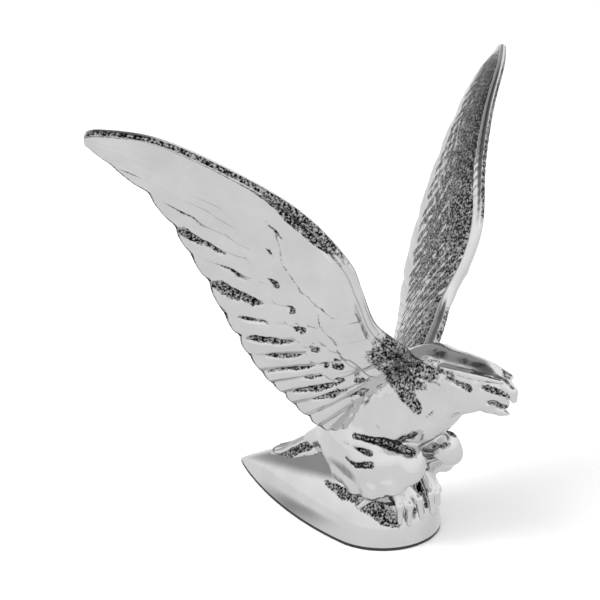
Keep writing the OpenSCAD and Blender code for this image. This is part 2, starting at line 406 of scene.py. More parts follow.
# Flight feather borders: [place on the trailing edge, sweep towards the tip per chord]
FLIGHT = np.array([(-0.6, 0.5), (0.05, 0.6), (0.5, 0.7), (0.95, 0.9), (1.35, 1.1), (1.75, 1.35), (2.1, 1.6),
                   (2.5, 1.8), (2.9, 2.0), (3.35, 2.1), (3.8, 2.2), (4.25, 2.2), (4.75, 2.2), (5.2, 2.3),
                   (5.6, 2.4), (6.2, 3.0), (6.9, 3.6), (7.6, 4.2), (8.6, 5.0), (10.0, 6.5)])
# How deep the trailing edge is notched at each of those borders, in mm
NOTCH = np.array([0, 0, 0.8, 0.5, 1.8, 0.5, 1.6, 0.4, 0.5, 0.5, 2.4, 0.6, 2.2, 0.7, 2.2, 2.6, 0.6, 0.3, 0, 0])


def feather_index(s, v):
    """Feather number as the whole part, and the place across that feather as the rest."""
    q = np.empty(np.broadcast(s, v).shape)
    order = np.arange(len(FLIGHT))
    for j in range(q.shape[1]):
        borders = FLIGHT[:, 0] - FLIGHT[:, 1] * (1.0 - v[0, j])
        q[:, j] = np.interp(s[:, 0], borders, order)
    return q


def row_of_lobes(s, v, line, width, skew, bulge, edge, phase=0.0):
    """Raised row of rounded lobes that ends at chord share line(s): returns its step and its crown."""
    q = (s + skew * (1.0 - v)) / width + phase
    f = 2.0 * (q - np.floor(q)) - 1.0
    tip = line + bulge * (np.sqrt(np.maximum(0.0, 1.0 - f * f)) - 0.6)
    step = smoothstep((tip - v) / edge + 0.5)
    crown = (1.0 - np.abs(f) ** 2.5) * step
    return step, crown


# Shares of the chord along the span, as (places, shares): end of the middle feathers, edge of the
# smooth pad at the wrist, and crease along the arm
MEDIAN = ([0, 0.6, 1.5, 2.0, 2.6, 3.35, 4.1, 4.75, 5.3, 5.9],
          [0.28, 0.30, 0.33, 0.37, 0.42, 0.44, 0.47, 0.42, 0.25, 0.0])
PAD = ([2.5, 2.8, 3.0, 3.5, 4.0, 4.5, 5.0, 5.4], [0.0, 0.15, 0.25, 0.33, 0.38, 0.38, 0.24, 0.0])
ARM = ([0.4, 1.2, 2.0, 2.8, 3.5, 4.5], [0.30, 0.33, 0.36, 0.37, 0.38, 0.38])
# Hollows between the flight feathers, sunk into the relief and painted dark as shade: [border number, from
# and to share of the chord, half width in mm]
HOLLOWS = [(4, 0.44, 0.66, 0.9), (5, 0.48, 0.86, 1.8), (6, 0.52, 0.93, 2.2), (7, 0.60, 0.80, 0.8),
           (8, 0.58, 0.97, 1.1), (9, 0.64, 0.90, 1.2), (10, 0.64, 0.96, 1.5), (11, 0.74, 0.92, 0.8),
           (12, 0.69, 0.99, 2.0),
           (13, 0.68, 0.86, 0.6), (14, 0.73, 1.0, 1.6), (15, 0.70, 0.92, 0.5), (16, 0.84, 0.96, 0.4)]


def arm_line(s):
    """Share of the chord at which the crease along the arm lies."""
    return np.interp(s, *ARM) + 0.018 * np.sin(7.0 * s)


def window(x, start, rise, end, fall):
    """1 between start and end, with soft borders: it grows over rise and goes over fall."""
    return smoothstep((x - start) / rise) * smoothstep((end - x) / fall)


def hollows(s, v):
    """How far a place lies in one of the hollows between flight feathers, from 0 to 1."""
    q = feather_index(s, v)
    total = np.zeros(q.shape)
    for number, low, high, half in HOLLOWS:
        t = np.clip((v - low) / (high - low), 0.0, 1.0)
        rag = 0.12 * np.sin(61.0 * v + 3.0 * number) + 0.08 * np.sin(157.0 * v + number)
        reach = half * (np.sin(np.pi * t**1.25) ** 0.75 + rag * np.sin(np.pi * t))
        off = np.abs(q - number + 0.06 * np.sin(20 * v)) * 6.5
        total = np.maximum(total, smoothstep((reach - off) / 0.5 + 0.5) * (t > 0) * (t < 1))
    return total


def outer_painted_shade(s, v, place):
    """Painted shade and painted dark reflections on the outer face, where the chrome is rougher too; place is
    the distance from the leading edge in mm.
    """
    # Painted shade between the flight feathers, a painted dark line along the trailing edge and painted shade
    # between the lobes of the small feathers
    mask = 0.78 * hollows(s, v)
    mask = np.maximum(mask, 0.8 * smoothstep((v - 0.975) / 0.012))
    q = (s + 1.6 * (1.0 - v)) / 0.56
    f = np.abs(2.0 * (q - np.floor(q)) - 1.0)
    valley = np.exp(-(((v - 0.575 + 0.05 * f) / 0.030) ** 2)) * smoothstep((f - 0.45) / 0.35)
    mask = np.maximum(mask, 0.9 * valley * window(s, 0.8, 0.5, 5.0, 0.5))
    # Painted dark reflections as spots, plain ones and then striped ones: place along the span, share of the
    # chord, and size in both
    for s0, v0, ds, dv in ((5.0, 0.26, 0.25, 0.02), (4.75, 0.42, 0.12, 0.02)):
        spot = np.exp(-(((s - s0) / ds) ** 2) - ((v - v0) / dv) ** 2)
        mask = np.maximum(mask, 0.75 * spot)
    for s0, v0, ds, dv in ((1.85, 0.45, 0.30, 0.070), (1.15, 0.42, 0.28, 0.070), (0.75, 0.50, 0.22, 0.060),
                           (2.60, 0.52, 0.24, 0.055), (3.30, 0.56, 0.20, 0.045)):
        along_s, along_v = (s - s0) / ds, (v - v0) / dv
        spot = smoothstep(1.8 - 1.8 * np.hypot(along_s, along_v))
        mask = np.maximum(mask, spot * (0.66 - 0.26 * np.sin(5.0 * along_s - 3.5 * along_v)))
    # Painted dark reflection in a band behind the leading edge, widest and ribbed at the wrist, with a
    # painted highlight line left in it away from the wrist
    wrist = smoothstep(1.0 - np.abs(s - WRIST) / 1.1)
    edge = smoothstep((4.2 + 3.0 * wrist - place) / 1.2)
    edge = edge * (1.0 - 0.35 * wrist * (0.5 + 0.5 * rib_wave(s, place)))
    edge = edge * (1.0 - 0.6 * np.exp(-(((place - 1.7) / 0.5) ** 2)) * (1.0 - wrist))
    mask = np.maximum(mask, edge * (0.74 + 0.20 * wrist) * smoothstep((s - 3.3) / 1.2))
    # Painted shade along the outline of the pad, in the crease along the arm and over the shoulder
    outline = np.exp(-(((v - np.interp(s, *PAD) - 0.015) / 0.012) ** 2))
    mask = np.maximum(mask, 0.62 * outline * window(s, 2.7, 0.3, 5.2, 0.3))
    crease = np.exp(-(((v - arm_line(s)) / 0.009) ** 2))
    mask = np.maximum(mask, 0.60 * crease * window(s, 0.5, 0.3, 3.6, 0.4))
    shoulder = smoothstep((2.3 - s) / 1.0) * smoothstep((0.33 - v) / 0.14)
    return np.maximum(mask, 0.64 * shoulder)


def inner_painted_shade(s, v, place):
    """Painted shade and painted dark reflections on the inner face, all but its rim, where the chrome is
    rougher too, with painted highlights as light bars and shafts of feathers.
    """
    rim = 1.5 * np.interp(s, *RIM_R)
    field = smoothstep((place - rim) / 1.0) * smoothstep((0.88 - v) / 0.12) * smoothstep((8.0 - s) / 0.9)
    streak = 0.5 + 0.5 * np.sin(9.0 * feather_index(s, v) + 14.0 * v)
    patch = 0.5 + 0.5 * np.sin(2.1 * s + 5.0 * v) * np.sin(7.0 * v + 0.8)
    dusk = smoothstep((0.36 - v) / 0.06) * window(s, 3.2, 0.8, 6.6, 0.8)
    # Painted highlights: light bars towards the trailing edge and along the shafts of feathers, where less
    # shade is painted
    bars = smoothstep(2.0 * np.sin(2 * np.pi * (5.0 * s + 3.0 * v)) - 0.3) * smoothstep((v - 0.50) / 0.12)
    shaft = smoothstep(1.5 * np.sin(2 * np.pi * (2.6 * s + 4.2 * v)) - 0.7) * smoothstep((0.58 - v) / 0.12)
    light = np.maximum(0.9 * bars, shaft * smoothstep((5.6 - s) / 1.0)) * (1.0 - dusk)
    return field * np.maximum(0.52 + 0.24 * patch + 0.14 * streak - 0.32 * light, 0.70 * dusk)


def outer_relief(s, v):
    """Height in mm of the feathers on the face turned down and outwards."""
    q = feather_index(s, v)
    f = q - np.floor(q)
    across = 2.0 * f - 1.0
    inner = smoothstep((6.6 - s) / 1.6)
    deep = smoothstep((v - 0.30) / 0.25) * (0.35 + 0.65 * inner)
    height = 1.05 * deep * (1.0 - np.abs(across) ** 2.0)
    height += 0.45 * deep * (f - 0.5)
    height += 0.16 * deep * np.exp(-((across + 0.1) / 0.07) ** 2)
    # Two rows of small feathers over the flight feathers
    fade = smoothstep((5.5 - s) / 0.7)
    step, crown = row_of_lobes(s, v, 0.585, 0.56, 1.6, 0.085, 0.022)
    height = height * (1.0 - 0.75 * step * fade) + fade * (0.75 * step + 0.65 * crown)
    line = np.interp(s, *MEDIAN)
    step, crown = row_of_lobes(s, v, line, 0.78, 1.3, 0.09, 0.022, 0.35)
    step, crown = step * fade, crown * fade
    height = height * (1.0 - 0.45 * step) + 0.7 * step + 0.4 * crown
    # Smooth pad at the wrist, and the raised arm
    pad = smoothstep((np.interp(s, *PAD) - v) / 0.05)
    height = height * (1.0 - 0.85 * pad) + 1.9 * pad
    height += 0.7 * smoothstep((arm_line(s) - v) / 0.03 + 0.5) * window(s, 0.5, 0.4, 3.4, 0.6)
    return height - 0.9 * hollows(s, v)


def inner_relief(s, v):
    """Height in mm of the feathers on the face turned up and inwards."""
    q = feather_index(s, v)
    f = q - np.floor(q)
    across = 2.0 * f - 1.0
    deep = smoothstep((v - 0.30) / 0.25) * (0.45 + 0.55 * smoothstep((6.6 - s) / 1.6))
    height = 0.30 * deep * (1.0 - np.abs(across) ** 2.2) + 0.15 * deep * (f - 0.5)
    height += 0.16 * deep * np.exp(-((across + 0.1) / 0.07) ** 2)
    fade = smoothstep((6.9 - s) / 1.2)
    taper = 1.0 - 0.35 * smoothstep((s - 4.5) / 2.0)
    for line, width, phase in ((0.64, 0.34, 0.0), (0.52, 0.30, 0.5), (0.41, 0.27, 0.1), (0.31, 0.24, 0.6),
                               (0.22, 0.22, 0.2)):
        step, crown = row_of_lobes(s, v, line * taper, width, 1.2, 0.06, 0.02, phase)
        step, crown = step * fade, crown * fade
        height = height * (1.0 - 0.5 * step) + 0.14 * step + 0.20 * crown
    return height


# Place of the wrist along the span, and radius in mm of the round leading edge
WRIST = 4.9
RIM_R = ([0, 1.5, 3, 4.2, 5.0, 6.0, 7.2, 8], [3.2, 2.4, 2.2, 2.3, 2.3, 2.0, 1.6, 1.2])


def rib_wave(s, place):
    """Wave of the fine ribs across the leading edge."""
    return np.sin(2 * np.pi * (s * 7.0 + 0.25 * place))


def rim_height(s, place):
    """Half thickness of the round leading edge, place mm behind its front, with fine ribs at the wrist."""
    r = np.interp(s, *RIM_R)
    u = np.clip(1.0 - place / r, -1.0, 1.0)
    ribs = 0.14 * smoothstep(1.0 - np.abs(s - WRIST) / 1.0) * rib_wave(s, place)
    ribs = ribs * (place < 1.8 * r) * (place > 0.3)
    return r * np.sqrt(np.maximum(0.0, 1.0 - u * u)) * (place < 2 * r) + ribs


def wing_frame(s):
    """Leading point, trailing point and the direction of the outer face, for the left wing."""
    a, b = along(LEAD, s), along(TRAIL, s)
    after, before = np.minimum(s + 0.2, SPAN), np.maximum(s - 0.2, 0.0)
    run = along(LEAD, after) + along(TRAIL, after) - along(LEAD, before) - along(TRAIL, before)
    up = np.cross(b - a, run)
    return a, b, up / np.linalg.norm(up, axis=1, keepdims=True)


def wing_rings(rows, columns):
    """Rings around the left wing from root to tip, and how much painted shade each of their points gets."""
    s1 = SPAN * np.arange(rows + 1) / rows
    a, b, up = wing_frame(s1)
    chord = np.linalg.norm(b - a, axis=1)
    thick = WING_T * (1.0 - 0.72 * s1 / SPAN)
    # The trailing edge swells at each flight feather and is notched between them
    feather = np.interp(s1, FLIGHT[:, 0], np.arange(len(FLIGHT)))
    border = np.round(feather).astype(int)
    near = 1.0 - smoothstep(np.abs(feather - border) / 0.42)
    notch = NOTCH[np.clip(border, 0, len(NOTCH) - 1)] * near**1.4
    swell = 0.9 * (1.0 - (2.0 * (feather - np.floor(feather)) - 1.0) ** 2)
    reach = (0.35 * swell - 0.55 * notch) * smoothstep((SPAN - s1) / 0.5) * smoothstep(s1 / 0.4)
    b = b + (b - a) / chord[:, None] * reach[:, None]
    tip = 1.0 - np.sqrt(1.0 - np.clip((s1 - SPAN) / TIP_ROUND + 1.0, 0.0, 1.0)[:, None] ** 2)
    a, b = a + 0.50 * tip * (b - a), b - 0.38 * tip * (b - a)
    v = (1.0 - np.cos(np.pi * np.arange(columns + 1) / columns)) / 2.0
    v = 0.35 * v + 0.65 * np.arange(columns + 1) / columns
    s2, v2 = s1[:, None] + 0 * v[None, :], v[None, :] + 0 * s1[:, None]
    shape = 2.0 * np.sqrt(v2 * (1.0 - v2)) * (1.0 - 0.62 * v2)
    camber = -0.16 * chord[:, None] * v2 * (1.0 - v2)
    ends = smoothstep(v2 / 0.05) * smoothstep((1.0 - v2) / 0.02) * smoothstep((SPAN - s2) / 0.25)
    small = 0.45 + 0.55 * smoothstep((SPAN - s2) / 3.0)
    mid = a[:, None, :] + v2[..., None] * (b - a)[:, None, :]
    place = v2 * chord[:, None]
    rim = rim_height(s2, place)
    after = smoothstep((place - 1.9 * np.interp(s2, *RIM_R)) / 2.0)
    plate = thick[:, None] * shape * 0.86
    outer = camber + np.maximum(rim, plate + ends * small * after * (outer_relief(s2, v2) - 0.4))
    inner = camber - np.maximum(rim, plate + ends * small * after * (inner_relief(s2, v2) - 0.3))
    low = mid + up[:, None, :] * outer[..., None]
    high = mid + up[:, None, :] * inner[..., None]
    dark = np.concatenate([outer_painted_shade(s2, v2, place), inner_painted_shade(s2, v2, place)[:, -2:0:-1]], 1)
    return np.concatenate([low, high[:, -2:0:-1]], 1), dark


def end_caps(mark):
    """Painted shade of a loft's points: the rings' own, and none at the middles of the two ends."""
    return np.append(mark.reshape(-1), [0.0, 0.0])


def build_wing(side):
    rings, dark = wing_rings(300, 120)
    rings[..., 1] *= side
    which = "left" if side > 0 else "right"
    build("wing_feathers_" + which, *loft(rings, flip=side < 0), CHROME_CAST, ROOT, "chrome",
          ["wing_" + which], painted_shade_and_rough=end_caps(dark))


build_wing(1)
build_wing(-1)

# ---------------------------------------------------------------- tail
# Sections from front to rear: X, height of the crest, half width, half thickness, droop of the sides
TAIL = [(6, 35, 8, 3.6, 4), (-6, 31.5, 10, 3.0, 6.5), (-15, 26, 11.5, 2.4, 8.5), (-23, 20.5, 12, 1.8, 9.5),
        (-29.5, 16.6, 11.5, 1.3, 9)]


def build_tail():
    rows, half = 110, 96
    feathers = 9
    s = (len(TAIL) - 1.0) * np.arange(rows + 1) / rows
    v = along(TAIL, s)
    w = -np.cos(np.pi * np.arange(half + 1) / half)
    w = 0.4 * w + 0.6 * np.linspace(-1, 1, half + 1)
    f = (w + 1) / 2 * feathers
    across = 2 * (f - np.floor(np.clip(f, 0, feathers - 1e-6))) - 1
    crown = 1 - np.abs(across) ** 2
    quill = np.exp(-((across / 0.12) ** 2))
    ease = smoothstep((1 - np.abs(w)) / 0.06)
    grow = smoothstep(s / 1.2)[:, None]
    relief = (0.75 * crown + 0.18 * quill)[None, :] * ease[None, :] * (0.4 + 0.6 * grow)
    tip = 0.9 * smoothstep((s - (len(TAIL) - 2.2)) / 1.2)[:, None] * np.sqrt(np.maximum(0, 1 - across**2))
    y = v[:, 2:3] * w[None, :]
    arch = v[:, 1:2] - v[:, 3:4] - v[:, 4:5] * (w**2)[None, :]
    swell = v[:, 3:4] * np.sqrt(np.maximum(0, 1 - w**2))[None, :] * 0.85 + 0.25
    x = v[:, 0:1] - tip + 0 * y
    top = np.stack([x, y, arch + swell + relief - 0.3], -1)
    low = np.stack([x, y, arch - swell - 0.35 * relief + 0.1], -1)
    rings = np.concatenate([top, low[:, -2:0:-1]], 1)
    # Painted shade towards the borders of the tail feathers, and a painted dark reflection along the flanks
    groove = (np.abs(across) ** 3)[None, :] * (0.45 + 0.35 * np.sin(5.0 * s)[:, None] ** 2)
    flank = smoothstep((np.abs(w) - 0.5) / 0.15)[None, :] * smoothstep((0.97 - np.abs(w)) / 0.05)[None, :]
    flank = 0.85 * flank * window(s, 0.4, 0.4, 3.4, 0.5)[:, None]
    mark = np.maximum(groove, flank)
    mark = np.concatenate([mark, 0 * mark[:, -2:0:-1]], 1)
    build("tail_feathers", *loft(rings, flip=True), CHROME_CAST, ROOT, "chrome", ["tail_fan"], sharp=60,
          painted_shade_and_rough=end_caps(mark))


build_tail()

# ---------------------------------------------------------------- body as one blended solid
# Sections along the spine: X, height, half width, half depth and pitch in degrees
BODY = [(-8, 27, 6, 4.5, 30), (2, 31, 9, 8, 32), (12, 36, 12, 11, 36), (23, 43, 14.5, 14.5, 41),
        (35, 52, 16.5, 17.5, 44), (46, 61.5, 17, 19, 44), (55.5, 69.5, 15.5, 18.5, 40),
        (63.5, 76, 12.5, 16, 28), (71.5, 79.2, 9.8, 12, 14), (79, 81, 8.8, 9.8, 2), (86, 80.4, 7.4, 8.4, -6),
        (91, 79.6, 5, 6.4, -12)]
# Spacing of the grid that the body is made on, in mm
STEP = 0.62


def blend_in(a, b, k):
    """Union of two distance fields, rounded over k mm."""
    h = np.clip(0.5 + 0.5 * (b - a) / k, 0.0, 1.0)
    return b * (1 - h) + a * h - k * h * (1 - h)


def blend_out(a, b, k):
    """Field a with b cut away, rounded over k mm."""
    return -blend_in(-a, b, k)


class Field:
    """Distance values on a grid over half of the body, mirrored about the plane of symmetry."""

    def __init__(self, low, high, step):
        self.low, self.step = np.array(low, float), step
        count = np.ceil((np.array(high, float) - self.low) / step).astype(int) + 1
        self.axes = [self.low[i] + step * np.arange(count[i]) for i in range(3)]
        self.x, self.y, self.z = np.meshgrid(*self.axes, indexing="ij", sparse=True)
        self.value = np.full(count, 50.0)

    def near(self, points, reach):
        """Slices of the grid near some points."""
        points = np.atleast_2d(points)
        out = []
        for i in range(3):
            a = int((points[:, i].min() - reach - self.low[i]) / self.step)
            b = int((points[:, i].max() + reach - self.low[i]) / self.step) + 2
            out.append(slice(max(a, 0), min(max(b, 1), self.value.shape[i])))
        return tuple(out)

    def local(self, w):
        return self.x[w[0]], self.y[:, w[1]], self.z[:, :, w[2]]

    def rod(self, a, b, ra, rb, k=1.5, cut=False, flat=1.0):
        """Round-ended tapered rod; flat scales its width along Y."""
        a, b = np.array(a, float), np.array(b, float)
        w = self.near([a, b], max(ra, rb) * max(1.0, flat) + k + 2.0)
        x, y, z = self.local(w)
        d = b - a
        t = ((x - a[0]) * d[0] + (y - a[1]) * d[1] + (z - a[2]) * d[2]) / max(d @ d, 1e-9)
        t = np.clip(t, 0, 1)
        dx, dy, dz = x - a[0] - t * d[0], (y - a[1] - t * d[1]) / flat, z - a[2] - t * d[2]
        gap = np.sqrt(dx**2 + dy**2 + dz**2)
        self.join(w, gap - (ra + (rb - ra) * t), k, cut)

    def chain(self, points, radii, k=1.5, cut=False, flat=1.0):
        for i in range(len(points) - 1):
            self.rod(points[i], points[i + 1], radii[i], radii[i + 1], k, cut, flat)

    def egg(self, centre, radii, tilt=0.0, k=2.0, cut=False):
        """Ellipsoid, tilted about Y by tilt degrees, nose up."""
        c, r = np.array(centre, float), np.array(radii, float)
        w = self.near([c], r.max() + k + 2.0)
        x, y, z = self.local(w)
        ca, sa = math.cos(math.radians(tilt)), math.sin(math.radians(tilt))
        u, q = (x - c[0]) * ca + (z - c[2]) * sa, -(x - c[0]) * sa + (z - c[2]) * ca
        size = np.sqrt((u / r[0]) ** 2 + ((y - c[1]) / r[1]) ** 2 + (q / r[2]) ** 2)
        self.join(w, (size - 1.0) * r.min(), k, cut)

    def join(self, w, other, k, cut):
        now = self.value[w]
        self.value[w] = blend_out(now, other, k) if cut else blend_in(other, now, k)

    def mesh(self):
        """Smooth surface through the zero level, for both halves."""
        full = np.concatenate([self.value[:, :0:-1], self.value], 1)
        low = self.low - np.array([0, self.step * (self.value.shape[1] - 1), 0])
        return surface_net(full, low, self.step)


def surface_net(value, low, step):
    """Quad mesh of the zero level of a grid of values: one point per cell that the surface crosses."""
    inside = value < 0
    n = np.array(value.shape) - 1
    total = np.zeros((*n, 3), np.float32)
    count = np.zeros(n, np.uint8)
    corner = [slice(0, -1), slice(1, None)]
    for axis in range(3):
        others = [i for i in range(3) if i != axis]
        for p in (0, 1):
            for q in (0, 1):
                s0 = [None] * 3
                s0[axis], s0[others[0]], s0[others[1]] = corner[0], corner[p], corner[q]
                s1 = list(s0)
                s1[axis] = corner[1]
                a, b = value[tuple(s0)], value[tuple(s1)]
                cross = (a < 0) != (b < 0)
                t = np.where(cross, a / np.where(cross, a - b, 1.0), 0.0)
                total[..., axis] += t
                total[..., others[0]] += p * cross
                total[..., others[1]] += q * cross
                count += cross
    cell = count > 0
    index = np.full(n, -1, np.int64)
    index[cell] = np.arange(cell.sum())
    base = np.stack(np.nonzero(cell), -1)
    verts = low + step * (base + total[cell] / count[cell][:, None])
    quads = []
    for axis in range(3):
        others = [i for i in range(3) if i != axis]
        s0, s1 = [slice(None)] * 3, [slice(None)] * 3
        s0[axis], s1[axis] = slice(0, -1), slice(1, None)
        cross = inside[tuple(s0)] != inside[tuple(s1)]
        at = np.stack(np.nonzero(cross), -1)
        good = (at[:, others[0]] > 0) & (at[:, others[1]] > 0)
        good &= (at[:, others[0]] < n[others[0]]) & (at[:, others[1]] < n[others[1]])
        at = at[good]
        first = inside[tuple(at.T)]
        e0, e1 = np.zeros(3, int), np.zeros(3, int)
        e0[others[0]], e1[others[1]] = 1, 1
        q = np.stack([index[tuple((at - e0 - e1).T)], index[tuple((at - e1).T)], index[tuple(at.T)],
                      index[tuple((at - e0).T)]], -1)
        turn = first if axis != 1 else ~first
        q[~turn] = q[~turn][:, ::-1]
        quads.append(q)
    return verts, np.vstack(quads)


def scales(u, w, length, width):
    """Overlapping scale pattern from 0 to 1: u runs along the rows towards their free ends, w across."""
    best = np.zeros(np.broadcast(u, w).shape)
    for row in (0, 1):
        along_row = u / length + 0.5 * row
        number = np.floor(along_row)
        side = w / width + 0.5 * np.mod(number * 2 + row, 2)
        across = 2 * (side - np.floor(side)) - 1
        t = along_row - number
        dome = np.maximum(0.0, 1.0 - across**2) * smoothstep(t / 0.9) * smoothstep((1.0 - t) / 0.12)
        best = np.maximum(best, dome)
    return best


def torso(field):
    """Torso, neck and skull as one body of ellipses along the spine, with plumage relief."""
    place = np.linspace(0, len(BODY) - 1, 240)
    rows = along(BODY, place)
    x, z = field.axes[0][:, None], field.axes[2][None, :]
    near = np.full(np.broadcast(x, z).shape, 1e9)
    best = np.zeros(near.shape, int)
    for i, row in enumerate(rows):
        d = (x - row[0]) ** 2 + (z - row[1]) ** 2
        hit = d < near
        near[hit] = d[hit]
        best[hit] = i
    row = rows[best]
    pitch = np.radians(row[..., 4])
    n = -(x - row[..., 0]) * np.sin(pitch) + (z - row[..., 1]) * np.cos(pitch)
    t = (x - row[..., 0]) * np.cos(pitch) + (z - row[..., 1]) * np.sin(pitch)
    t = np.where((best == 0) | (best == len(rows) - 1), t, 0.0)
    half_w, half_d = row[..., 2][:, None, :], row[..., 3][:, None, :]
    n, t, y = n[:, None, :], t[:, None, :], field.y
    size = np.sqrt((n / half_d) ** 2 + (y / half_w) ** 2 + (t / half_d) ** 2)
    value = (size - 1.0) * np.minimum(half_w, half_d)
    angle = np.degrees(np.arctan2(n / half_d, y / half_w))
    arc = (angle / 57.3) * (half_w + half_d) / 2
    s = place[best][:, None, :]
    dist = s * 11.0
    back = smoothstep((angle + 5.0) / 35.0)
    reach = window(s, 1.0, 2.0, 5.6, 1.4)
    plumage = scales(-dist, arc, 6.5, 5.0)
    breast = scales(-dist, arc, 10.0, 8.0) * smoothstep((angle + 75.0) / 20.0) * (1 - back)
    value = value - 0.6 * plumage * back * reach
    value = value - 0.45 * breast * window(s, 2.5, 0.8, 5.6, 0.8)
    field.value[:] = np.minimum(field.value, value)


# Grooves of the thigh, and places on the body and the head, as lines for strokes(): all painted dark as shade
# and dark reflections, and made rougher
THIGH_LINES = [((33, 18.5, 47.5), (46, 15.5, 48.0), 1.0, 1.6), ((46, 15.5, 48.0), (59, 13.0, 47.0), 1.8, 1.9),
               ((29, 19.5, 43.0), (43, 19.5, 43.0), 0.6, 1.1), ((30, 21.0, 38.0), (38, 22.5, 37.0), 0.5, 0.8),
               ((38, 22.5, 37.0), (45, 21.5, 39.0), 1.0, 1.2), ((28, 19.5, 34.0), (36, 21.5, 32.0), 0.4, 0.6)]
BODY_SHADE_MARKS = [((48, 18, 92), (49, 14, 79), 4.8, 5.8), ((49, 14, 79), (57, 14.5, 73), 5.2, 4.4),
              ((57, 14.5, 73), (62.5, 14, 67), 4.4, 3.0), ((50, 13, 83), (67, 10.5, 82.5), 5.0, 3.4),
              ((56, 13, 78), (64, 12, 77), 4.0, 2.4),
              ((60, 10, 85), (76, 8.8, 85), 1.8, 1.6), ((66, 11, 80), (71, 10, 79), 1.6, 0.8),
              ((66, 11.4, 64), (68.5, 10, 67.5), 1.0, 0.6),
              ((57, 3.0, 43), (62, 7.0, 44.5), 1.8, 1.8), ((52, 9.0, 24), (52, 9.5, 21), 1.6, 1.2),
              ((47, 14, 28), (53, 12, 27.5), 1.4, 1.2)]
HEAD_SHADE_MARKS = [((73.5, 9.6, 82.6), (84, 8.0, 81.0), 1.0, 2.1), ((89.5, 6.6, 82.6), (94, 5.0, 82.0), 1.1, 1.9),
              ((94, 5.0, 82.0), (98.6, 2.4, 80.2), 1.8, 1.5), ((68, 9.0, 84.6), (84, 7.6, 85.0), 0.6, 0.5),
              ((84, 7.6, 85.0), (95, 4.4, 84.9), 0.5, 0.5), ((90, 3.5, 75.6), (94, 2.5, 75.0), 0.9, 1.6),
              ((94, 2.5, 75.0), (97.5, 1.5, 74.6), 1.6, 1.6)]


def add_legs(field):
    """Casting web under the tail, thighs, shanks, and the feathered cuffs that hang over the feet."""
    field.chain([(-27, 0, 11), (-8, 0, 20), (14, 0, 29)], [3.0, 6.0, 9.0], 3.0)
    field.egg((20, 8.5, 37), (13, 7.5, 9.0), 25, 8.0)
    field.egg((32, 12.0, 36.5), (18, 10.0, 12.5), 14, 6.0)
    field.rod((38, 13, 34), (56.5, 11, 40.5), 10.5, 7.4, 2.5)
    field.rod((54, 10.8, 36), (48.5, 9.6, 27), 4.6, 3.4, 1.5)
    cuff = [(60, 13.5, 37), (53, 16.5, 30.5), (44, 18.5, 26), (34, 18.5, 24.8), (24, 16.5, 27), (16, 12, 33)]
    field.chain(cuff, [3.6, 3.2, 3.0, 3.0, 2.8, 2.4], 4.0)
    for a, b in (((50, 18, 31), (49, 18.4, 26.6)), ((43, 19.5, 29), (41.5, 19.8, 24)),
                 ((35, 19, 28), (33, 19, 23.6)), ((55, 15.5, 34), (54, 15.8, 29.5))):
        field.rod(a, b, 2.4, 1.7, 1.6)
    for a, b, ra, rb in THIGH_LINES:
        field.rod(a, b, 0.8 * ra, 0.8 * rb, 0.8, cut=True)


def add_feet(field):
    """Feet and toes, each toe with a knuckle and a claw. A toe is its root, knuckle and end."""
    field.egg((48.5, 8.6, 26), (4.4, 4.6, 3.4), -20, 2.0)
    for toe in (((49.5, 10.8, 25.5), (53.0, 11.8, 19.5), (53.6, 12.2, 13.0)),
                ((50.5, 8.0, 26), (55.2, 8.2, 19.5), (55.2, 8.2, 11.5)),
                ((50.5, 6.0, 26), (56.0, 3.6, 21.0), (57.8, 3.4, 13.5)),
                ((46, 12.0, 26), (42.0, 17.6, 21.6), (38.0, 20.4, 17.0))):
        field.chain(toe, [2.2, 1.7, 1.2], 0.8)
        knuckle, end = np.array(toe[1]), np.array(toe[2])
        field.rod(knuckle, knuckle + 0.1, 1.95, 1.95, 0.8)
        claw = end + (end - knuckle) * 0.26 + np.array([0.5, 0, 0.3])
        field.chain([end, claw], [1.2, 0.35], 0.5)


def add_head(field):
    """Skull, brows, cheeks, eye sockets and the groove behind each eye."""
    field.egg((84.5, 0, 81.4), (10.0, 7.6, 8.6), -8, 2.0)
    field.rod((70, 8.2, 85.4), (84, 6.8, 86.2), 1.3, 1.3, 0.8)
    field.rod((84, 6.8, 86.2), (95.8, 3.4, 85.8), 1.3, 1.1, 0.6)
    field.rod((78, 3, 73.5), (88, 2.6, 75.0), 5.0, 3.2, 2.5)
    field.egg((91.4, 6.9, 82.4), (2.8, 1.7, 1.8), -8, 0.7, cut=True)
    field.rod((76, 9.4, 81.4), (84, 8.4, 80.8), 0.9, 1.4, 0.6, cut=True)


def add_beak(field):
    """Upper beak with nostrils, throat, lower beak, tongue, open mouth and eyes."""
    upper = [(90, 0, 81.6), (95.5, 0, 82.0), (98.6, 0, 81.0), (100.2, 0, 78.6), (99.8, 0, 76.6)]
    field.chain(upper, [5.4, 4.0, 2.9, 1.3, 0.35], 0.9, flat=0.8)
    field.rod((97.0, 3.2, 82.2), (98.2, 2.6, 81.6), 0.7, 0.5, 0.3, cut=True)
    field.rod((70, 3, 69.5), (80, 2.5, 73.0), 6.5, 5.0, 3.0)
    lower = [(81, 0, 73.6), (88, 0, 72.6), (94, 0, 71.9), (98, 0, 71.7)]
    field.chain(lower, [4.4, 3.2, 2.0, 0.7], 1.0, flat=1.1)
    field.rod((92, 0, 76.5), (96.5, 0, 75.5), 2.6, 1.8, 0.8)
    field.chain([(89.4, 4.8, 75.8), (93.4, 4.3, 75.2), (97.6, 3.4, 74.8)], [0.4, 2.2, 2.0], 0.5, cut=True)
    field.rod((98.6, 0, 75.0), (103, 0, 74.6), 1.3, 2.4, 0.6, cut=True, flat=5.0)
    field.egg((91.2, 5.3, 82.4), (1.6, 1.6, 1.5), 0, 0.2)


